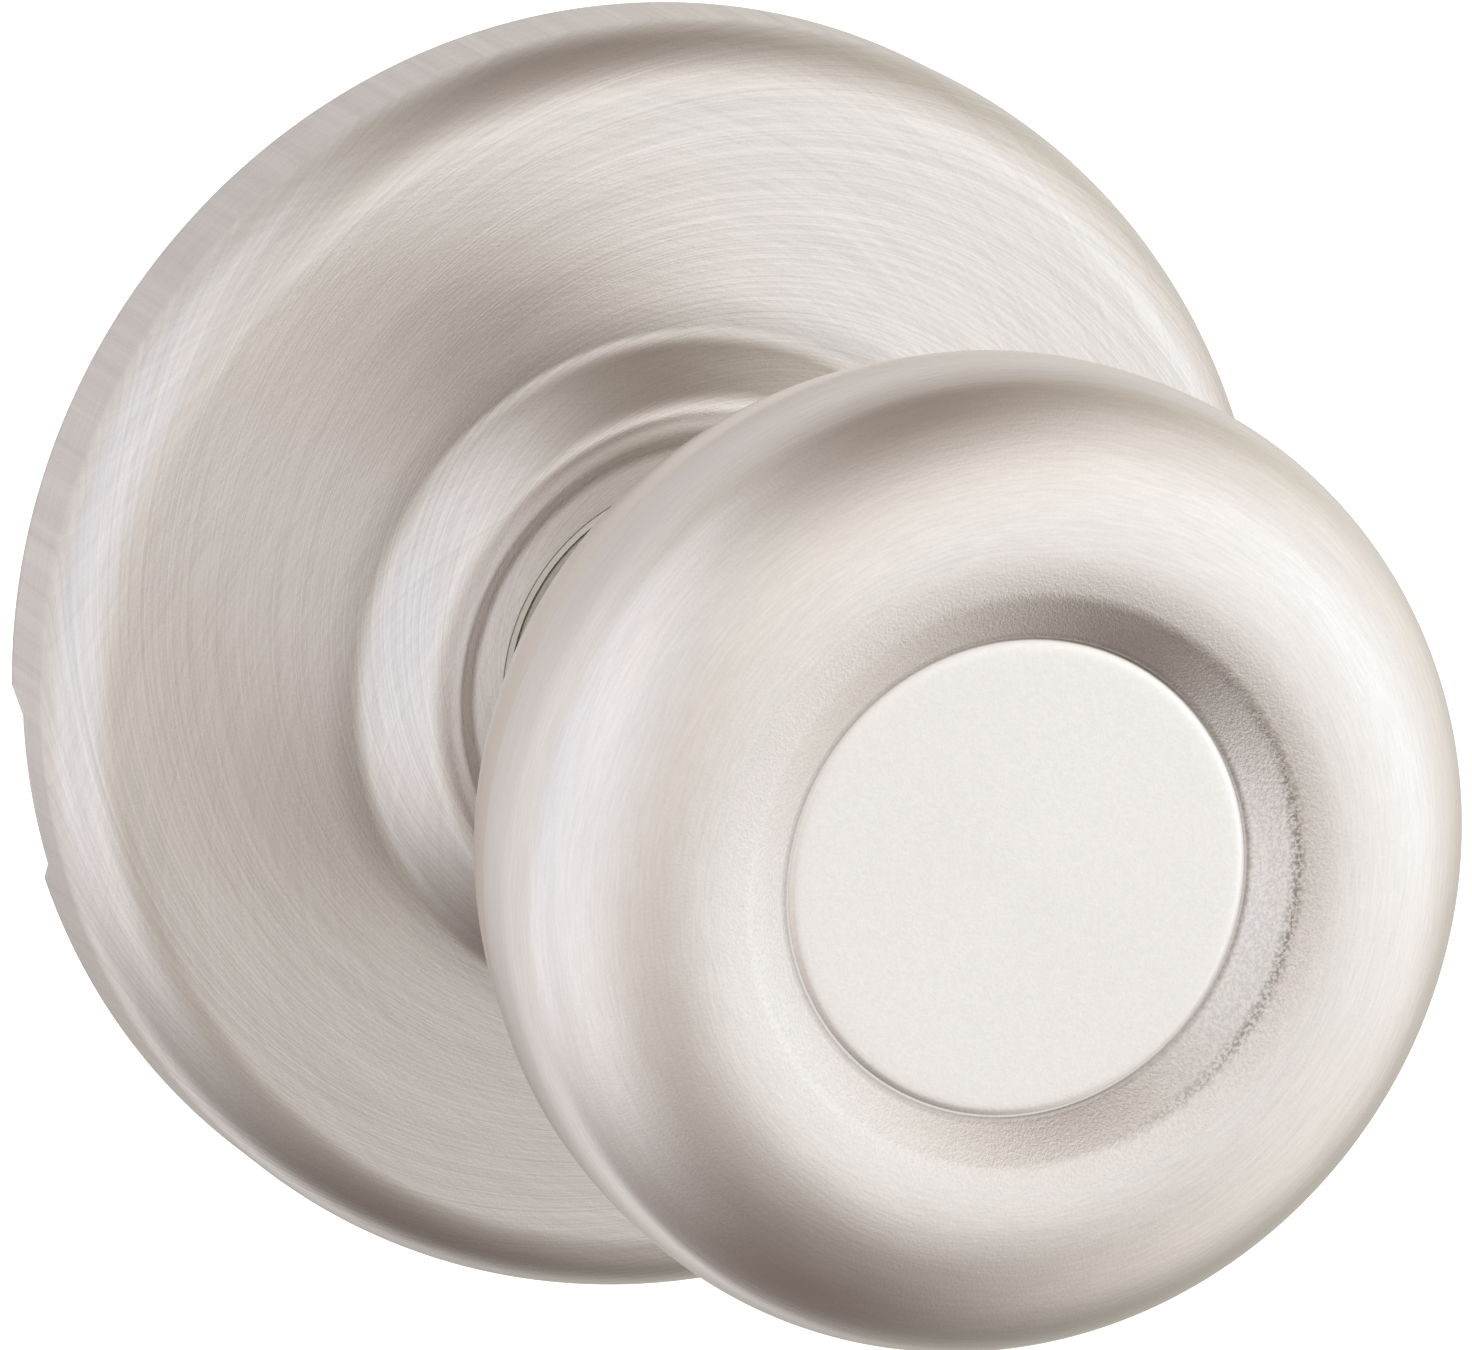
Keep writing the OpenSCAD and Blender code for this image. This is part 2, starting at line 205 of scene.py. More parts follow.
def prism(name, section, lo, hi, matrix):
    """A section of (x, y) points drawn from z = lo to z = hi, then placed by the matrix, mm."""
    n = len(section)
    verts = [matrix @ Vector((x, y, z)) for z in (lo, hi) for x, y in section]
    verts = [to_row(*v) for v in verts]
    faces = [tuple(range(n)), tuple(range(2 * n - 1, n - 1, -1))]
    faces += [(i, (i + 1) % n, n + (i + 1) % n, n + i) for i in range(n)]
    return link_mesh(name, verts, faces)


# ------------------------------------------------------------------ rose
corner = arc(ROSE_R - CORNER_R, SKIRT_H, CORNER_R, 0, 90 - FACE_SLOPE, 40)
face_p = corner[-1]
face_e = (BOSS_R, face_p[1] + (face_p[0] - BOSS_R) * math.tan(math.radians(FACE_SLOPE)))
flare = bend(face_e, 1.6, FACE_SLOPE, 52, 20)
slope_e = run_on(flare[-1], 3.0, 52)
crown = bend(slope_e, 1.7, 52, 0, 16)
roll = bend(crown[-1], 1.3, 0, -50, 14)
roll_e = run_on(roll[-1], 0.9, -50)
valley = bend(roll_e, 1.3, -50, -4, 14)
lip_e = run_on(valley[-1], 1.19, -4)
lip = line(valley[-1], lip_e, 4)
skirt = [(ROSE_R, 0.0), (ROSE_R, 0.6), (ROSE_R, 1.2), (ROSE_R, 1.9), (ROSE_R, 2.6), (ROSE_R, 3.8)]
rose_out = skirt + corner + line(face_p, face_e, 16) + flare + line(flare[-1], slope_e, 5) + crown + roll + line(roll[-1], roll_e, 2) + valley + lip
rose_ring = rose_out + list(reversed(aside(rose_out, ROSE_T)))
rose_ring = rounded(rose_ring, {0: 0.12, len(rose_ring) - 1: 0.12, len(rose_out) - 1: 0.15, len(rose_out): 0.15})


def notch(a, r, z):
    d = a - math.radians(NOTCH_DIR)
    d = math.atan2(math.sin(d), math.cos(d))
    if abs(d) > 0.4 or z > 3.2:
        return z
    s = abs(r * math.sin(d))
    outer, inner = NOTCH_W / 2 + 1, NOTCH_W / 2 - NOTCH_H / 2
    floor = (outer - s) / (outer - inner) * (NOTCH_H + 1) - 1
    floor = max(0.0, min(NOTCH_H, floor))
    return max(z, floor + z * 0.12 * (floor > 0))


angles = even(540)
near = math.radians(NOTCH_DIR)
angles = [a for a in angles if abs(a - near) > 0.2] + [near - 0.2 + 0.4 * i / 140 for i in range(141)]
angles.sort()
rose = lathe("rose_shell", rose_ring, angles, notch)
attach(rose, "root")
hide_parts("rose")

# ------------------------------------------------------------------ knob shells
bowl_c = KNOB_R - BOWL_R
back_r = BOWL_R - STEP
fil_z = WIDE_Z - math.sqrt((back_r + FIL_R) ** 2 - (NECK_R + FIL_R - bowl_c) ** 2)
t1 = -90 + math.degrees(math.acos((NECK_R + FIL_R - bowl_c) / (back_r + FIL_R)))
fillet = []
for i in range(31):
    t = math.radians(-90 + (t1 + 90) * i / 30)
    fillet.append((NECK_R + FIL_R + FIL_R * math.sin(t), fil_z + FIL_R * math.cos(t)))
a0 = math.atan2(fillet[-1][0] - bowl_c, WIDE_Z - fillet[-1][1])
a1 = math.acos((WIDE_Z - SEAM_Z) / back_r)
bowl = []
for i in range(1, 61):
    t = a0 + (a1 - a0) * i / 60
    bowl.append((bowl_c + back_r * math.sin(t), WIDE_Z - back_r * math.cos(t)))
neck = [(NECK_R, 8.4)] + line((NECK_R, 8.4), (NECK_R, 16.0), 4) + line((NECK_R, 16.0), fillet[0], 8)[:-1]
back_out = neck + fillet + bowl
inner = [p for p in aside(back_out, SHELL_T) if p[1] < 49.1]
back_ring = back_out + [(24.5, SEAM_Z), (24.5, 53.5), (23.75, 53.5), (23.75, 49.9)] + list(reversed(inner))
back_ring = rounded(back_ring, {0: 0.15, len(back_out) - 1: 0.14})
knob_back = lathe("knob_back_shell", back_ring, even(480))
hole = prism("tool_hole", [(1.5 * math.cos(a), 1.5 * math.sin(a)) for a in even(48)], 0, 14, Matrix.Translation((0, 0, CATCH_Z)) @ Matrix.Rotation(math.radians(90), 4, "X"))
cut(knob_back, hole)
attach(knob_back, "knob")
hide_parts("knob_back")

front_arc = []
for i in range(15):
    z = SEAM_Z + 0.15 + (WIDE_Z - SEAM_Z - 0.15) * i / 15
    front_arc.append((bowl_c + math.sqrt(BOWL_R ** 2 - (WIDE_Z - z) ** 2), z))
shoulder = [(KNOB_R, WIDE_Z)]
for rad, s1, s2 in SHOULDER:
    shoulder += bend(shoulder[-1], rad, s1, s2, 16)
rim_in = bend(shoulder[-1], 12, 0, -10, 14)
rim_in += bend(rim_in[-1], 2.2, -10, -27, 12)
rim_in += bend(rim_in[-1], 18, -27, -DISH_SLOPE, 10)
wall_e = run_on(rim_in[-1], DISH_WALL, -DISH_SLOPE)
cove = bend(wall_e, 0.4, -DISH_SLOPE, -4, 8)
groove_r, disc_z = cove[-1]
front_out = front_arc + shoulder + rim_in + line(rim_in[-1], wall_e, 6) + cove
groove = [(groove_r - 0.06, disc_z - 0.06), (groove_r - 0.13, disc_z - 0.095), (groove_r - 0.22, disc_z - 0.07), (groove_r - 0.36, disc_z - 0.01), (groove_r - 0.55, disc_z + 0.012), (groove_r - 0.8, disc_z + 0.02)]
disc = groove + line(groove[-1], (0.0, disc_z + 0.05), 14)
face_in = [p for p in aside(front_out, SHELL_T)]
face_ring = front_out + disc + [(0.0, disc_z - SHELL_T)] + list(reversed(face_in))
face_ring = rounded(face_ring, {0: 0.14})
knob_face = lathe("knob_face_shell", face_ring, even(480), sharp=50)
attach(knob_face, "knob")
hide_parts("knob_face")

# ------------------------------------------------------------------ screws with rolled threads
def screw(y0):
    verts, faces = [], []
    sides, pitch = 40, 0.79
    rings = []
    z = -SCREW_REACH
    while z < PLATE_T - 1e-6:
        rings.append(z)
        z += pitch / 10
    rings.append(PLATE_T)
    for z in rings:
        fade = min(1.0, max(0.0, (-10.5 - z) / 1.0))
        lead = min(1.0, (z + SCREW_REACH) / 0.9)
        for j in range(sides):
            a = 2 * math.pi * j / sides
            phase = (z / pitch - j / sides) % 1.0
            depth = 0.42 * fade * (abs(phase - 0.5) * 2) ** 1.2
            r = SCREW_R - depth - (1 - lead) * 0.5 - 0.25 * (1 - fade)
            r = min(r, SCREW_R - 0.02)
            verts.append(to_row(r * math.cos(a), y0 + r * math.sin(a), z))
    n = len(rings)
    for i in range(n - 1):
        for j in range(sides):
            k = (j + 1) % sides
            faces.append((i * sides + j, i * sides + k, (i + 1) * sides + k, (i + 1) * sides + j))
    # head: underside, rim and dome
    dome = [(3.75, PLATE_T + 0.02), (3.88, PLATE_T + 0.12), (3.88, PLATE_T + 0.55)] + [(5.03 * math.cos(math.radians(38 + 52 * i / 14)), PLATE_T - 2.6 + 5.03 * math.sin(math.radians(38 + 52 * i / 14))) for i in range(1, 15)]
    base = (n - 1) * sides
    prev = [base + j for j in range(sides)]
    for r, z in dome[:-1]:
        ring = []
        for j in range(sides):
            a = 2 * math.pi * j / sides
            verts.append(to_row(r * math.cos(a), y0 + r * math.sin(a), z))
            ring.append(len(verts) - 1)
        for j in range(sides):
            k = (j + 1) % sides
            faces.append((prev[j], prev[k], ring[k], ring[j]))
        prev = ring
    faces.append(tuple(prev))
    faces.append(tuple(range(sides - 1, -1, -1)))
    return verts, faces


sv, sf = [], []
for y0 in (-SCREW_GAP / 2, SCREW_GAP / 2):
    v, f = screw(y0)
    sf += [tuple(i + len(sv) for i in q) for q in f]
    sv += v
screws = link_mesh("machine_screws", sv, sf, 28)
for y0 in (-SCREW_GAP / 2, SCREW_GAP / 2):
    for q in (20, 110):
        cross = prism("cross", [(-2.1, -0.4), (2.1, -0.4), (2.1, 0.4), (-2.1, 0.4)], PLATE_T + 1.1, PLATE_T + 4, Matrix.Translation((0, y0, 0)) @ Matrix.Rotation(math.radians(q), 4, "Z"))
        cut(screws, cross)
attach(screws, "root")
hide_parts("mounting_screws")

# ------------------------------------------------------------------ springs in round wire
LEG, LO, HI, TURNS = 12.5, -8.2, -4.2, 3
total = 360 * TURNS - 2 * LEG
path = [(14.6 * math.cos(math.radians(90 + LEG + 4.5)), 14.6 * math.sin(math.radians(90 + LEG + 4.5)), LO)]
path += [(12 * math.cos(math.radians(90 + LEG + total * i / 216)), 12 * math.sin(math.radians(90 + LEG + total * i / 216)), LO + (HI - LO) * i / 216) for i in range(217)]
path += [(14.6 * math.cos(math.radians(90 - LEG - 4.5)), 14.6 * math.sin(math.radians(90 - LEG - 4.5)), HI)]
spring = sweep("torsion_spring", [to_row(*p) for p in path], 0.63 * MM, (0, 1, 0))
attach(spring, "root")
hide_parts("return_spring")

coil = []
for i in range(181):
    t = i / 180
    a = 2 * math.pi * 5 * t
    coil.append(to_row(1.8 * math.cos(a), 5.5 - 9.35 * t, CATCH_Z + 1.8 * math.sin(a)))
small = sweep("catch_coil", coil, 0.29 * MM, (0, 0, 1), 10)
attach(small, "knob")
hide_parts("catch_spring")
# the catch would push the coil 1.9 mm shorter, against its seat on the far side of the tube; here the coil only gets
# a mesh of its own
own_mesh(small)


# ------------------------------------------------------------------ materials
class Graph:
    """Small helper that builds a node tree from left to right."""

    def __init__(self, tree):
        self.t = tree
        self.x = 0

    def add(self, kind, **props):
        n = self.t.nodes.new(kind)
        n.location = (self.x, 0)
        self.x += 40
        for k, v in props.items():
            setattr(n, k, v)
        return n

    def put(self, socket, value):
        if isinstance(value, (int, float)):
            socket.default_value = value
        elif isinstance(value, (tuple, list)):
            socket.default_value = value
        else:
            self.t.links.new(value, socket)

    def math(self, op, a, b=None, c=None, clamp=False):
        n = self.add("ShaderNodeMath", operation=op, use_clamp=clamp)
        self.put(n.inputs[0], a)
        if b is not None:
            self.put(n.inputs[1], b)
        if c is not None:
            self.put(n.inputs[2], c)
        return n.outputs[0]

    def noise(self, vector, w=None, scale=1.0, detail=2.0, rough=0.5, distort=0.0):
        n = self.add("ShaderNodeTexNoise", noise_dimensions="4D" if w is not None else "3D")
        self.put(n.inputs["Vector"], vector)
        if w is not None:
            self.put(n.inputs["W"], w)
        n.inputs["Scale"].default_value = scale
        n.inputs["Detail"].default_value = detail
        n.inputs["Roughness"].default_value = rough
        n.inputs["Distortion"].default_value = distort
        return n.outputs["Fac"]

    def xyz(self, x, y, z):
        n = self.add("ShaderNodeCombineXYZ")
        for s, v in zip(n.inputs, (x, y, z)):
            self.put(s, v)
        return n.outputs[0]

    def span(self, value, a, b, lo, hi):
        n = self.add("ShaderNodeMapRange")
        self.put(n.inputs["Value"], value)
        for k, v in zip(("From Min", "From Max", "To Min", "To Max"), (a, b, lo, hi)):
            self.put(n.inputs[k], v)
        return n.outputs["Result"]

    def mix(self, fac, a, b):
        n = self.add("ShaderNodeMix", data_type="RGBA")
        self.put(n.inputs[0], fac)
        self.put(n.inputs[6], a)
        self.put(n.inputs[7], b)
        return n.outputs[2]

    def bump(self, height, distance, strength=1.0, normal=None):
        n = self.add("ShaderNodeBump")
        n.inputs["Strength"].default_value = strength
        n.inputs["Distance"].default_value = distance
        self.put(n.inputs["Height"], height)
        if normal is not None:
            self.put(n.inputs["Normal"], normal)
        return n.outputs[0]


def new_material(name):
    m = bpy.data.materials.new(name)
    m.use_nodes = True
    m.node_tree.nodes.clear()
    g = Graph(m.node_tree)
    out = g.add("ShaderNodeOutputMaterial")
    bsdf = g.add("ShaderNodeBsdfPrincipled")
    m.node_tree.links.new(bsdf.outputs[0], out.inputs[0])
    return m, g, bsdf


def turned(g):
    """Object coordinates and the same point seen round the knob's axis."""
    co = g.add("ShaderNodeTexCoord").outputs["Object"]
    sep = g.add("ShaderNodeSeparateXYZ")
    g.put(sep.inputs[0], co)
    x, y, z = sep.outputs
    r = g.math("SQRT", g.math("ADD", g.math("MULTIPLY", x, x), g.math("MULTIPLY", z, z)))
    r = g.math("MAXIMUM", r, 1e-5)
    return co, x, y, z, r, g.math("DIVIDE", x, r), g.math("DIVIDE", z, r)


def ring_lines(g, t, along, across, detail=3.0, rough=0.6, offset=0.0):
    """Fine scratches that run round the axis: along counts features round a radian, across is their width in mm."""
    co, x, y, z, r, c, s = t
    v = g.xyz(g.math("MULTIPLY", c, along), g.math("MULTIPLY", s, along), g.math("MULTIPLY_ADD", r, 1000 / across, offset))
    return g.noise(v, w=g.math("MULTIPLY", y, 1000 / across), detail=detail, rough=rough)


def spiral_lines(g, t, lean, fine, offset=0.0):
    """Scratches that lean off the circle by the given angle in degrees."""
    co, x, y, z, r, c, s = t
    turn = g.math("MULTIPLY", g.math("LOGARITHM", g.math("MULTIPLY", r, 1000), math.e), 1 / math.tan(math.radians(lean)))
    a = g.math("ADD", g.math("ARCTAN2", z, x), turn)
    v = g.xyz(g.math("MULTIPLY", g.math("COSINE", a), fine), g.math("MULTIPLY", g.math("SINE", a), fine), g.math("MULTIPLY_ADD", r, 1000 / 7, offset))
    return g.noise(v, detail=3.0, rough=0.65)


NICKEL = (0.80, 0.765, 0.735)


def satin_nickel(name, spiral=0.0, blasted=None, ring=1.0, rough=0.30, aniso=0.35, tint=1.0, depth=0.16, neck=False, corner_shade=0.0):
    m, g, bsdf = new_material(name)
    base = tuple(v * tint for v in NICKEL)
    t = turned(g)
    co, x, y, z, r, c, s = t
    fine = ring_lines(g, t, 11.0, 0.16)
    soft = ring_lines(g, t, 3.0, 1.3, 2.0, 0.5, 17.0)
    broad = g.noise(co, scale=55.0, detail=2.0)
    grain = g.noise(co, scale=6500.0, detail=2.0, rough=0.7)
    marks = g.noise(co, scale=160.0, detail=4.0, rough=0.7, distort=1.2)
    lines = g.math("MULTIPLY", g.math("SUBTRACT", fine, 0.5), ring)
    if spiral:
        s1 = spiral_lines(g, t, 9.0, 40.0)
        s2 = spiral_lines(g, t, -19.0, 46.0, 9.0)
        both = g.math("MULTIPLY_ADD", g.math("SUBTRACT", s2, 0.5), 0.45, g.math("SUBTRACT", s1, 0.5))
        lines = g.math("MULTIPLY_ADD", both, spiral, lines)
    blast = 0.0
    if blasted is not None:
        # 1 inside the dish, where the metal is left as it was blasted
        blast = g.span(r, blasted[0] * MM, blasted[1] * MM, 1.0, 0.0)
        inner = g.span(r, 0.01235, 0.01265, 1.0, 0.0)
        # painted shade: a thin dark line at r 12.54 mm, in the crease where the cove meets the disc
        crease_shade_line = g.math("SUBTRACT", 1.0, g.math("MULTIPLY", g.math("ABSOLUTE", g.math("SUBTRACT", r, 0.01254)), 1 / 0.0003, clamp=True))
        lines = g.math("MULTIPLY", lines, g.math("SUBTRACT", 1.0, blast))
    # colour: nickel with faint warm and cool drift, darker in the scratches, and with painted shade and painted
    # light added below where named
    tone = g.math("MULTIPLY_ADD", g.math("SUBTRACT", broad, 0.5), 0.9, 0.5, clamp=True)
    warm = g.mix(tone, (base[0] * 0.985, base[1] * 0.975, base[2] * 0.96, 1), (base[0] * 1.01, base[1] * 1.015, base[2] * 1.025, 1))
    dark = g.span(lines, -0.28, 0.28, depth, -0.25 * depth)
    dark = g.math("ADD", dark, g.span(soft, 0.3, 0.7, 0.045, -0.01))
    dark = g.math("ADD", dark, g.span(grain, 0.35, 0.65, 0.035, -0.015))
    wear = g.span(marks, 0.66, 0.78, 0.0, 0.03)
    dark = g.math("ADD", dark, wear, clamp=True)
    if corner_shade:
        # painted shade: a ring in the corner where the boss starts is darkened, where shade falls
        corner = g.math("SUBTRACT", 1.0, g.math("MULTIPLY", g.math("ABSOLUTE", g.math("SUBTRACT", r, 0.0192)), 1 / 0.0016, clamp=True))
        dark = g.math("ADD", dark, g.math("MULTIPLY", corner, corner_shade), clamp=True)
    if neck:
        # painted light: the neck is painted paler than the bowl to lift the shade that falls between the bowl and
        # the rose, and it is made duller than the bowl
        neck_painted_light_mask = g.span(r, 0.0112, 0.0125, 1.0, 0.0)
        warm = g.mix(neck_painted_light_mask, warm, (0.95, 0.925, 0.90, 1))
    if blasted is not None:
        # the disc keeps fewer dark marks, and the painted shade line in its crease is added
        dark = g.math("ADD", g.math("MULTIPLY", dark, g.math("MULTIPLY_ADD", inner, -0.7, 1.0)), g.math("MULTIPLY", crease_shade_line, 0.60), clamp=True)
        # painted shade: a speckled dark line on the dish wall at r 14.78 mm, strongest on one side of the knob,
        # where shade and a dark reflection fall
        wander = g.math("MULTIPLY_ADD", g.math("SUBTRACT", broad, 0.5), 0.0006, r)
        shade_line = g.math("SUBTRACT", 1.0, g.math("MULTIPLY", g.math("ABSOLUTE", g.math("SUBTRACT", wander, 0.01478)), 1 / 0.00048, clamp=True))
        shade_side = g.span(g.math("MULTIPLY_ADD", s, -0.15, c), 0.4, 1.0, 0.06, 1.0)
        pits = g.span(g.noise(co, scale=5200.0, detail=2.0, rough=0.6), 0.42, 0.58, 0.25, 1.0)
        dark = g.math("ADD", dark, g.math("MULTIPLY", g.math("MULTIPLY", shade_line, shade_side), g.math("MULTIPLY", pits, 0.75)), clamp=True)
        # the blast pits on the dish wall are darkened, more on one side of the knob: grain, with painted shade on
        # that side
        wall = g.math("SUBTRACT", blast, inner, clamp=True)
        dark = g.math("ADD", dark, g.math("MULTIPLY", g.math("MULTIPLY", wall, g.math("MULTIPLY_ADD", shade_side, 0.15, 0.08)), g.span(pits, 0.25, 1.0, 0.0, 1.0)), clamp=True)
        spots = g.span(g.noise(co, scale=3600.0, detail=2.0, rough=0.7), 0.36, 0.64, 0.06, 0.0)
        dark = g.math("ADD", dark, g.math("MULTIPLY", inner, spots), clamp=True)
        warm = g.mix(inner, warm, (0.95, 0.925, 0.90, 1))
    colour = g.mix(dark, warm, (NICKEL[0] * 0.42, NICKEL[1] * 0.40, NICKEL[2] * 0.38, 1))
    g.put(bsdf.inputs["Base Color"], colour)
    bsdf.inputs["Metallic"].default_value = 1.0
    rg = g.math("MULTIPLY_ADD", lines, -0.16, rough)
    rg = g.math("MULTIPLY_ADD", g.math("SUBTRACT", soft, 0.5), 0.10, rg)
    rg = g.math("MULTIPLY_ADD", g.math("SUBTRACT", broad, 0.5), 0.05, rg)
    if neck:
        rg = g.math("MULTIPLY_ADD", neck_painted_light_mask, 0.26, rg)
    if blasted is not None:
        rg = g.math("MULTIPLY_ADD", blast, 0.05, rg)
    g.put(bsdf.inputs["Roughness"], rg)
    if aniso:
        bsdf.inputs["Anisotropic"].default_value = aniso
        tan = g.add("ShaderNodeTangent", direction_type="RADIAL", axis="Y")
        g.put(bsdf.inputs["Tangent"], tan.outputs[0])
    height = g.math("MULTIPLY", lines, 0.9)
    n1 = g.bump(height, 0.000012, 0.55)
    amount = 0.3
    if blasted is not None:
        # the wall of the dish is the roughest, the coined disc is smoother
        amount = g.math("ADD", 0.45, g.math("MULTIPLY", g.math("SUBTRACT", blast, inner, clamp=True), 1.5))
    n2 = g.bump(g.math("MULTIPLY", grain, amount), 0.00003, 0.5, n1)
    g.put(bsdf.inputs["Normal"], n2)
    return m


def plated(name, colour, drift, rough, metallic=1.0, grain_scale=900.0, bump=0.00002, specks=None, turned_lines=0.0):
    m, g, bsdf = new_material(name)
    t = turned(g)
    co = t[0]
    broad = g.noise(co, scale=70.0, detail=3.0)
    grain = g.noise(co, scale=grain_scale, detail=3.0, rough=0.65)
    scuff = g.noise(co, scale=260.0, detail=5.0, rough=0.7, distort=0.8)
    base = g.mix(g.span(broad, 0.3, 0.7, 0.0, 1.0), (*colour, 1), (*drift, 1))
    low = tuple(c * 0.55 for c in colour)
    amount = g.math("ADD", g.span(scuff, 0.6, 0.75, 0.0, 0.35), g.span(grain, 0.4, 0.65, 0.12, 0.0), clamp=True)
    if turned_lines:
        rings = ring_lines(g, t, 3.0, 0.2)
        amount = g.math("ADD", amount, g.span(rings, 0.35, 0.6, turned_lines, 0.0), clamp=True)
    g.put(bsdf.inputs["Base Color"], g.mix(amount, base, (*(specks or low), 1)))
    bsdf.inputs["Metallic"].default_value = metallic
    rg = g.math("MULTIPLY_ADD", g.math("SUBTRACT", grain, 0.5), 0.22, rough)
    rg = g.math("MULTIPLY_ADD", g.math("SUBTRACT", broad, 0.5), 0.12, rg)
    g.put(bsdf.inputs["Roughness"], rg)
    g.put(bsdf.inputs["Normal"], g.bump(grain, bump, 0.6))
    return m


mat_rose = satin_nickel("satin_nickel_rose", spiral=1.15, ring=0.6, rough=0.27, aniso=0.45, depth=0.24, corner_shade=0.34)
mat_knob = satin_nickel("satin_nickel_knob", ring=0.9, rough=0.24, aniso=0.35, tint=1.07, neck=True)
mat_face = satin_nickel("satin_nickel_face", ring=0.9, rough=0.24, aniso=0.3, blasted=(14.8, 17.4), tint=1.07)
mat_plate = plated("zinc_plate", (0.70, 0.73, 0.77), (0.76, 0.76, 0.72), 0.34, turned_lines=0.08)
mat_steel = plated("bearing_steel", (0.60, 0.60, 0.60), (0.54, 0.54, 0.56), 0.30, turned_lines=0.14)
mat_spring = plated("spring_steel", (0.38, 0.38, 0.40), (0.32, 0.33, 0.37), 0.36, grain_scale=1400.0)
mat_black = plated("blackened_steel", (0.075, 0.075, 0.085), (0.11, 0.10, 0.10), 0.42, specks=(0.22, 0.21, 0.20))
mat_brass = plated("bearing_brass", (0.78, 0.60, 0.32), (0.70, 0.50, 0.26), 0.35, turned_lines=0.12)
mat_nylon = plated("nylon", (0.84, 0.82, 0.75), (0.80, 0.77, 0.69), 0.46, metallic=0.0, grain_scale=1800.0, specks=(0.60, 0.57, 0.50))
mat_cast = plated("die_cast_zinc", (0.46, 0.46, 0.47), (0.40, 0.41, 0.43), 0.52, grain_scale=1300.0, bump=0.00005)

for obj, m in ((rose, mat_rose), (knob_back, mat_knob), (knob_face, mat_face), (screws, mat_plate), (spring, mat_spring), (small, mat_spring)):
    obj.data.materials.clear()
    obj.data.materials.append(m)

finishes = {
    "mounting_plate": mat_plate, "spring_housing": mat_plate, "driver_tube": mat_plate, "spindle": mat_plate, "knob_shank": mat_plate,
    "rose_clips": mat_spring, "wave_washer": mat_spring, "drive_cam": mat_steel, "housing_rivets": mat_steel, "stop_pins": mat_steel,
    "spindle_pin": mat_steel, "knob_catch": mat_steel, "retaining_ring": mat_black, "hub_bushing": mat_brass,
    "rose_bushing": mat_nylon, "thrust_washer": mat_nylon, "spindle_socket": mat_cast, "knob_core": mat_cast,
    "rose": mat_rose, "knob_back": mat_knob, "knob_face": mat_face, "mounting_screws": mat_plate, "return_spring": mat_spring, "catch_spring": mat_spring,
}
for name, m in finishes.items():
    nodes[name].data.materials.clear()
    nodes[name].data.materials.append(m)

# ------------------------------------------------------------------ floor
floor_z = -0.30
pts = [(-6, -6), (6, -6), (6, 6), (-6, 6)]
floor = link_mesh("floor", [(x, y, floor_z) for x, y in pts], [(0, 1, 2, 3)])
fm, fg, fb = new_material("floor_paint")
fco = fg.add("ShaderNodeTexCoord").outputs["Object"]
mottle = fg.noise(fco, scale=9.0, detail=3.0)
fg.put(fb.inputs["Base Color"], fg.mix(fg.span(mottle, 0.3, 0.7, 0, 1), (0.93, 0.93, 0.93, 1), (0.955, 0.955, 0.955, 1)))
fb.inputs["Roughness"].default_value = 0.9
fb.inputs["Specular IOR Level"].default_value = 0.1
fb.inputs["Emission Color"].default_value = (1.0, 1.0, 1.0, 1.0)
fb.inputs["Emission Strength"].default_value = 0.75
floor.data.materials.append(fm)
floor.visible_glossy = False
floor.visible_diffuse = False

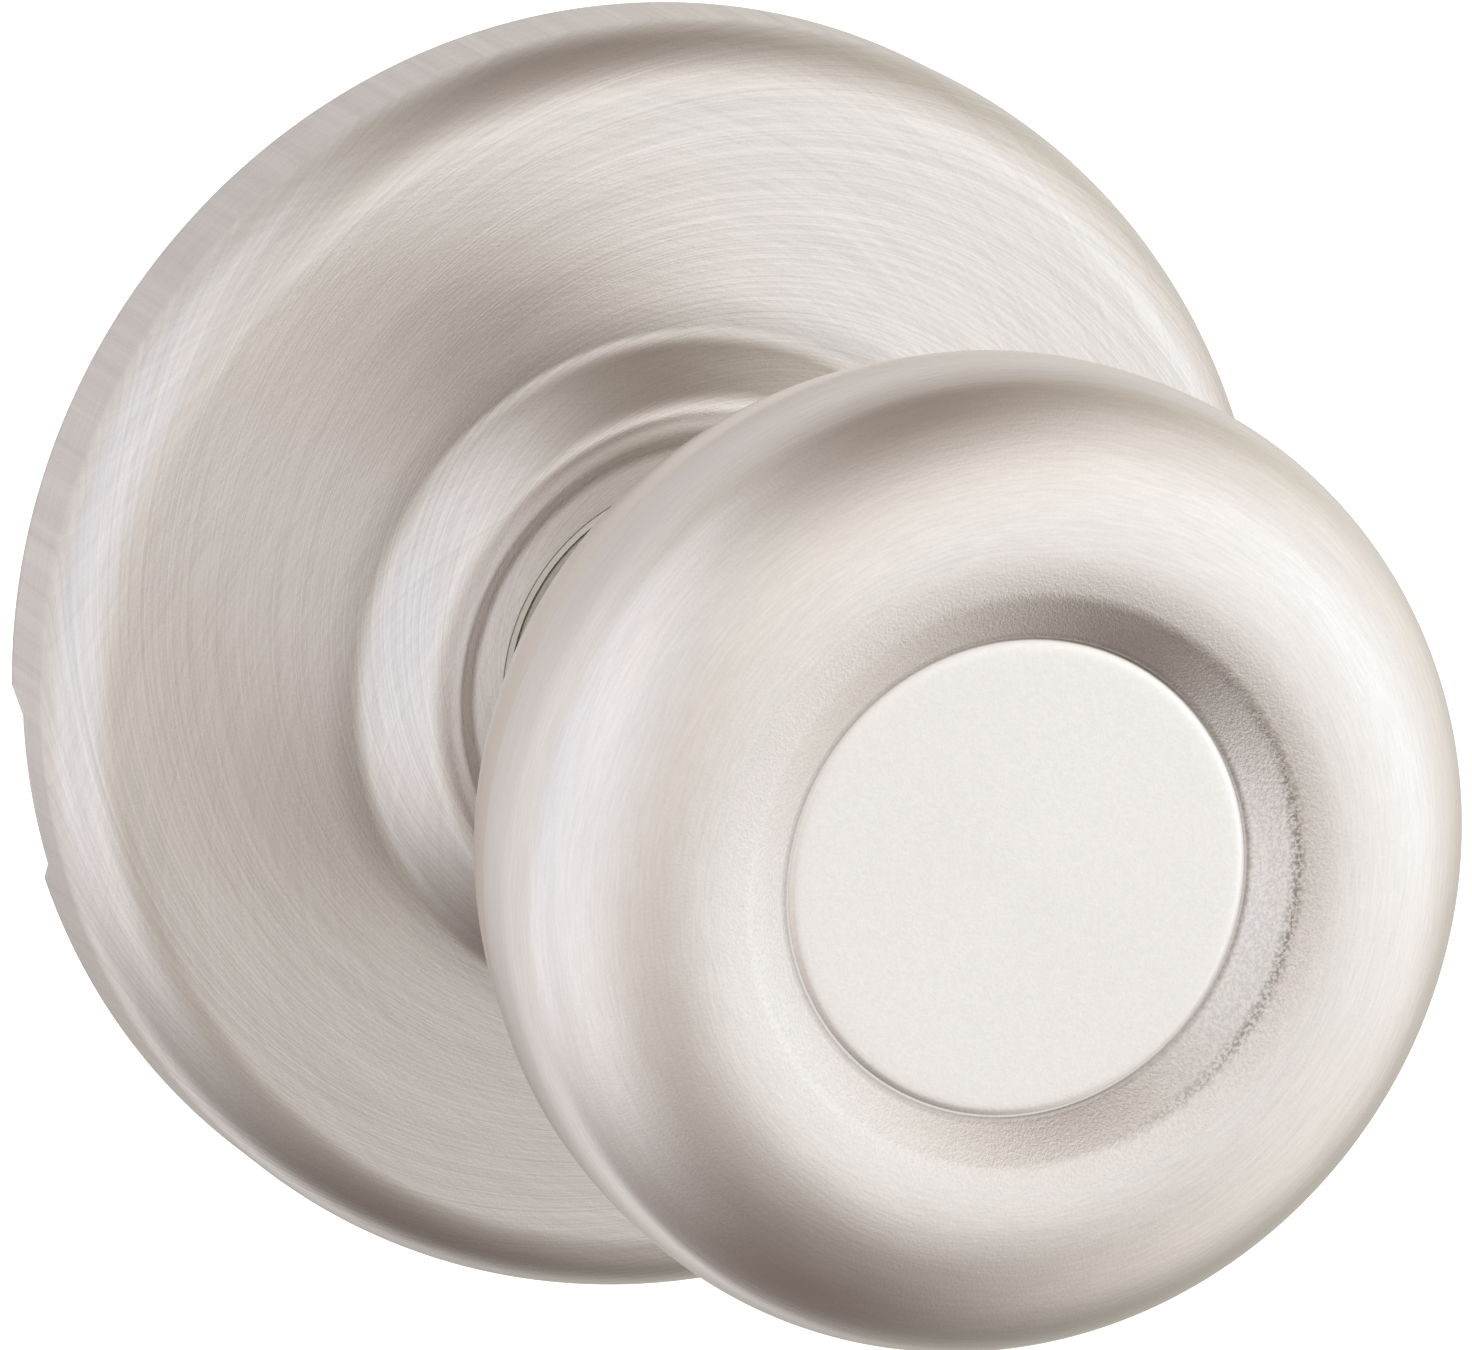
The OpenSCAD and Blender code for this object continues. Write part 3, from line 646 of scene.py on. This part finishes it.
# ------------------------------------------------------------------ soft studio light, as a few wide glows
# azimuth (0 is the room side, positive to the right), elevation, sharpness, colour
BASE = (0.19, 0.15, 0.13)
GLOWS = [
    (-42, 70, 15.0, (0.15, 0.14, 0.12)),
    (95, 64, 15.0, (0.12, 0.11, 0.10)),
    (-127, 59, 15.0, (0.27, 0.27, 0.24)),
    (10, 54, 15.0, (0.05, 0.03, 0.02)),
    (148, 50, 15.0, (0.19, 0.18, 0.17)),
    (-75, 47, 15.0, (0.50, 0.52, 0.55)),
    (63, 43, 15.0, (0.43, 0.43, 0.41)),
    (-160, 40, 15.0, (0.31, 0.32, 0.32)),
    (-22, 37, 15.0, (0.38, 0.40, 0.39)),
    (115, 34, 15.0, (0.33, 0.33, 0.28)),
    (-107, 31, 15.0, (0.48, 0.51, 0.55)),
    (30, 29, 15.0, (0.61, 0.61, 0.59)),
    (168, 26, 15.0, (0.34, 0.35, 0.35)),
    (-55, 23, 15.0, (0.60, 0.61, 0.63)),
    (83, 21, 15.0, (0.57, 0.58, 0.56)),
    (-140, 18, 15.0, (0.45, 0.46, 0.47)),
    (-2, 16, 15.0, (0.49, 0.49, 0.48)),
    (135, 13, 15.0, (0.41, 0.43, 0.43)),
    (-87, 11, 15.0, (0.45, 0.48, 0.55)),
    (50, 8, 15.0, (0.68, 0.74, 0.79)),
    (-172, 6, 15.0, (0.23, 0.23, 0.26)),
    (-35, 4, 15.0, (0.46, 0.50, 0.56)),
    (103, 1, 15.0, (0.51, 0.52, 0.50)),
    (-120, -1, 15.0, (0.41, 0.43, 0.45)),
    (18, -4, 15.0, (0.57, 0.60, 0.62)),
    (155, -6, 15.0, (0.36, 0.37, 0.33)),
    (-67, -8, 15.0, (0.51, 0.54, 0.58)),
    (70, -11, 15.0, (0.65, 0.70, 0.75)),
    (-152, -13, 15.0, (0.43, 0.44, 0.45)),
    (-15, -16, 15.0, (0.39, 0.37, 0.33)),
    (123, -18, 15.0, (0.27, 0.27, 0.25)),
    (-100, -21, 15.0, (0.62, 0.65, 0.71)),
    (38, -23, 15.0, (0.52, 0.53, 0.53)),
    (175, -26, 15.0, (0.10, 0.09, 0.08)),
    (-47, -29, 15.0, (0.64, 0.66, 0.68)),
    (90, -31, 15.0, (0.47, 0.47, 0.46)),
    (-132, -34, 15.0, (0.38, 0.38, 0.39)),
    (143, -40, 15.0, (0.20, 0.22, 0.19)),
    (-80, -43, 15.0, (0.35, 0.35, 0.35)),
    (58, -47, 15.0, (0.52, 0.52, 0.49)),
    (-165, -50, 15.0, (0.50, 0.53, 0.55)),
    (110, -59, 15.0, (0.08, 0.10, 0.10)),
]
WHITE = 1.35


def studio(base, glows, white):
    world = bpy.data.worlds.new("studio")
    scene.world = world
    world.use_nodes = True
    tree = world.node_tree
    tree.nodes.clear()
    g = Graph(tree)
    out = g.add("ShaderNodeOutputWorld")
    d = g.add("ShaderNodeTexCoord").outputs["Generated"]
    total = None
    for az, el, k, rgb in glows:
        a, e = math.radians(az), math.radians(el)
        way = (math.sin(a) * math.cos(e), -math.cos(a) * math.cos(e), math.sin(e))
        dot = g.add("ShaderNodeVectorMath", operation="DOT_PRODUCT")
        g.put(dot.inputs[0], d)
        dot.inputs[1].default_value = way
        fall = g.math("EXPONENT", g.math("MULTIPLY", g.math("SUBTRACT", dot.outputs["Value"], 1.0), k))
        part = g.add("ShaderNodeVectorMath", operation="SCALE")
        part.inputs[0].default_value = rgb
        g.put(part.inputs["Scale"], fall)
        if total is None:
            total = part.outputs[0]
        else:
            s = g.add("ShaderNodeVectorMath", operation="ADD")
            g.put(s.inputs[0], total)
            g.put(s.inputs[1], part.outputs[0])
            total = s.outputs[0]
    s = g.add("ShaderNodeVectorMath", operation="ADD")
    g.put(s.inputs[0], total)
    s.inputs[1].default_value = base
    light = g.add("ShaderNodeBackground")
    g.put(light.inputs[0], s.outputs[0])
    plain = g.add("ShaderNodeBackground")
    plain.inputs[0].default_value = (white, white, white, 1)
    path = g.add("ShaderNodeLightPath")
    mixer = g.add("ShaderNodeMixShader")
    g.put(mixer.inputs[0], path.outputs["Is Camera Ray"])
    g.put(mixer.inputs[1], light.outputs[0])
    g.put(mixer.inputs[2], plain.outputs[0])
    g.put(out.inputs[0], mixer.outputs[0])
    world.cycles.sampling_method = "MANUAL"
    world.cycles.sample_map_resolution = 512


studio(BASE, GLOWS, WHITE)

scene.view_settings.view_transform = "Standard"
scene.view_settings.look = "None"
scene.view_settings.exposure = 0.0
scene.view_settings.gamma = 1.0

# ------------------------------------------------------------------ camera at the photograph's angle
cam_data = bpy.data.cameras.new("camera")
cam = bpy.data.objects.new("camera", cam_data)
scene.collection.objects.link(cam)
cam_data.sensor_width = 36.0
cam_data.sensor_fit = "HORIZONTAL"
cam_data.lens = 366.848
cam_data.clip_start, cam_data.clip_end = 0.05, 20
turn = Matrix(((0.94151687, 0.07434340, -0.32866251), (-0.33696586, 0.20772303, -0.91831648), (0.00000000, 0.97535850, 0.22062592)))
cam.matrix_world = Matrix.Translation((-0.26294971, -0.75235642, 0.17810031)) @ turn.to_4x4()
scene.camera = cam
